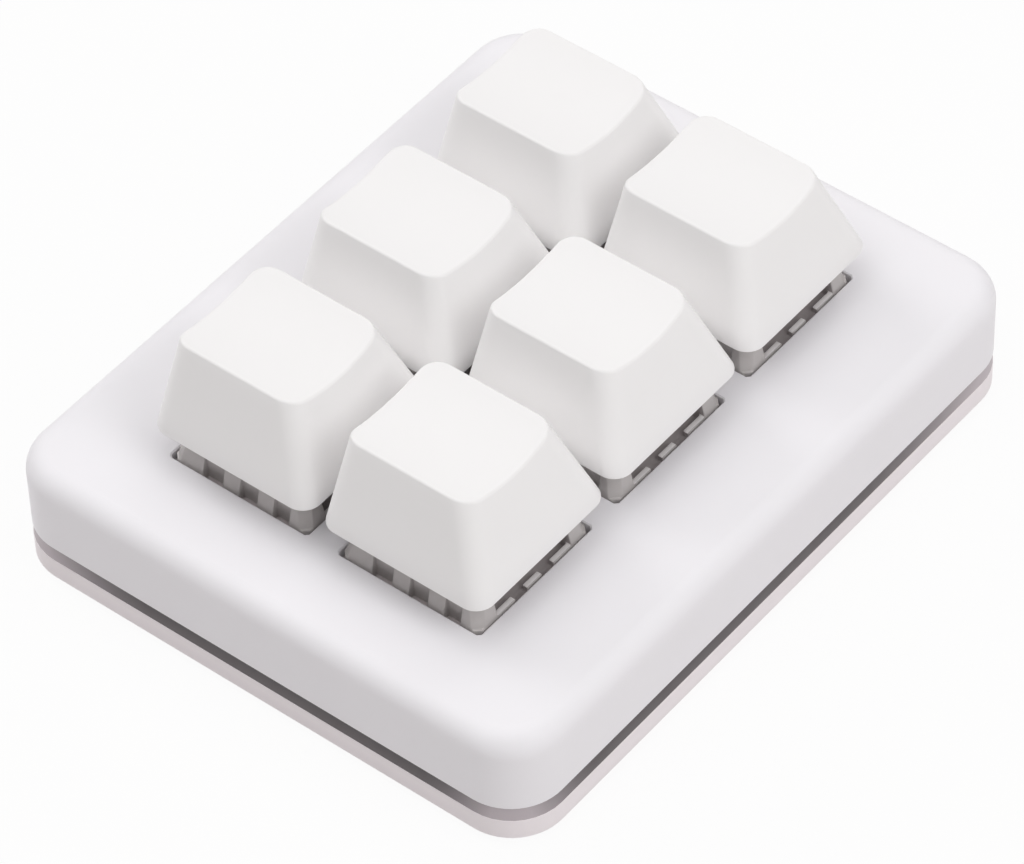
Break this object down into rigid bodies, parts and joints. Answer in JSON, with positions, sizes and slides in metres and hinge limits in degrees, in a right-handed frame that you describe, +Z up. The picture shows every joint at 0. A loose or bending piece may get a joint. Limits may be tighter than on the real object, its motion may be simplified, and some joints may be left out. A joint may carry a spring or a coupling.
{
  "type": "macro keypad",
  "caption": "Small desk keypad: dished sprung keycaps on square key switches in a soft-edged two-shell case with a recessed grey seam band and a rear cable port.",
  "frame": {"origin": "on the table under the middle of the case, at the height of the feet's lower faces", "axes": "+X to the right along the long side, +Y to the back, +Z up, as seen by the person who types"},
  "size_m": [0.0724, 0.0582, 0.026],
  "materials": {
    "shell_white": "fine matte moulded texture",
    "keycap_white": "smooth satin moulded plastic",
    "seam_grey": "matte dark grey",
    "housing_grey": "smoky satin plastic",
    "base_grey": "satin plastic",
    "stem_plastic": "self-lubricating plastic",
    "spring_steel": "bright drawn wire",
    "contact_brass": "stamped strip",
    "plate_steel": "white powder coat",
    "board_dark": "solder mask over glass laminate",
    "screw_steel": "plated steel",
    "port_steel": "drawn sheet",
    "port_black": "moulded",
    "chip_black": "moulded package",
    "capacitor_tan": "ceramic",
    "foot_rubber": "matte"
  },
  "bodies": {
    "case": {"top_case": "shell_white", "bottom_case": "shell_white", "seam_band": "seam_grey", "switch_plate": "plate_steel", "circuit_board": "board_dark", "case_screws": "screw_steel", "usb_shell": "port_steel", "usb_tongue": "port_black", "controller_chip": "chip_black", "crystal": "port_steel", "voltage_regulator": "chip_black", "capacitors": "capacitor_tan", "resistors": "chip_black", "diodes": "chip_black", "foot_front_left": "foot_rubber", "foot_front_right": "foot_rubber", "foot_back_left": "foot_rubber", "foot_back_right": "foot_rubber", "switch_top_front_left": "housing_grey", "switch_base_front_left": "base_grey", "switch_spring_front_left": "spring_steel", "contacts_front_left": "contact_brass", "switch_top_front_middle": "housing_grey", "switch_base_front_middle": "base_grey", "switch_spring_front_middle": "spring_steel", "contacts_front_middle": "contact_brass", "switch_top_front_right": "housing_grey", "switch_base_front_right": "base_grey", "switch_spring_front_right": "spring_steel", "contacts_front_right": "contact_brass", "switch_top_back_left": "housing_grey", "switch_base_back_left": "base_grey", "switch_spring_back_left": "spring_steel", "contacts_back_left": "contact_brass", "switch_top_back_middle": "housing_grey", "switch_base_back_middle": "base_grey", "switch_spring_back_middle": "spring_steel", "contacts_back_middle": "contact_brass", "switch_top_back_right": "housing_grey", "switch_base_back_right": "base_grey", "switch_spring_back_right": "spring_steel", "contacts_back_right": "contact_brass"},
    "key_front_left": {"keycap_front_left": "keycap_white", "stem_front_left": "stem_plastic"},
    "key_front_middle": {"keycap_front_middle": "keycap_white", "stem_front_middle": "stem_plastic"},
    "key_front_right": {"keycap_front_right": "keycap_white", "stem_front_right": "stem_plastic"},
    "key_back_left": {"keycap_back_left": "keycap_white", "stem_back_left": "stem_plastic"},
    "key_back_middle": {"keycap_back_middle": "keycap_white", "stem_back_middle": "stem_plastic"},
    "key_back_right": {"keycap_back_right": "keycap_white", "stem_back_right": "stem_plastic"}
  },
  "joints": [
    {"name": "press_front_left", "type": "slide", "parent": "case", "child": "key_front_left", "axis": [0, 0, -1], "range_m": [0, 0.0036], "stiffness_N_per_m": 80, "springref_m": -0.00375, "deforming": ["switch_spring_front_left"]},
    {"name": "press_front_middle", "type": "slide", "parent": "case", "child": "key_front_middle", "axis": [0, 0, -1], "range_m": [0, 0.0036], "stiffness_N_per_m": 80, "springref_m": -0.00375, "deforming": ["switch_spring_front_middle"]},
    {"name": "press_front_right", "type": "slide", "parent": "case", "child": "key_front_right", "axis": [0, 0, -1], "range_m": [0, 0.0036], "stiffness_N_per_m": 80, "springref_m": -0.00375, "deforming": ["switch_spring_front_right"]},
    {"name": "press_back_left", "type": "slide", "parent": "case", "child": "key_back_left", "axis": [0, 0, -1], "range_m": [0, 0.0036], "stiffness_N_per_m": 80, "springref_m": -0.00375, "deforming": ["switch_spring_back_left"]},
    {"name": "press_back_middle", "type": "slide", "parent": "case", "child": "key_back_middle", "axis": [0, 0, -1], "range_m": [0, 0.0036], "stiffness_N_per_m": 80, "springref_m": -0.00375, "deforming": ["switch_spring_back_middle"]},
    {"name": "press_back_right", "type": "slide", "parent": "case", "child": "key_back_right", "axis": [0, 0, -1], "range_m": [0, 0.0036], "stiffness_N_per_m": 80, "springref_m": -0.00375, "deforming": ["switch_spring_back_right"]}
  ]
}
